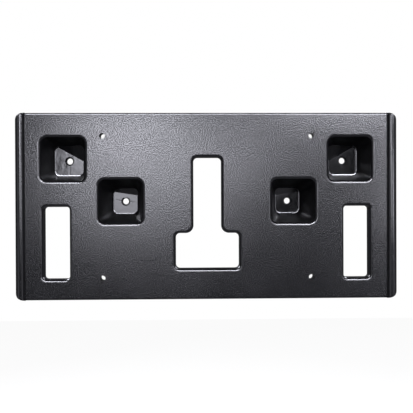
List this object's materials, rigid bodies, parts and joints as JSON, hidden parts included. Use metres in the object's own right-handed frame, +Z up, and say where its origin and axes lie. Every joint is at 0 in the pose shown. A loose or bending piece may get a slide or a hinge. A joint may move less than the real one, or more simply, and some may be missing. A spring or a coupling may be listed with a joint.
{
  "type": "number plate holder",
  "caption": "Moulded number plate holder with raised end beads, a T-shaped opening, side slots and deep tapered screw pockets.",
  "frame": {"origin": "middle of the plate-screw pattern on the front face", "axes": "+X to the right as seen from the front, -Y out of the front face, +Z up"},
  "size_m": [0.3236, 0.0495, 0.159],
  "materials": {
    "black_plastic": "fine moulded grain on the face, smoother beads and pockets"
  },
  "bodies": {
    "root": {"plate_holder": "black_plastic"}
  },
  "joints": []
}
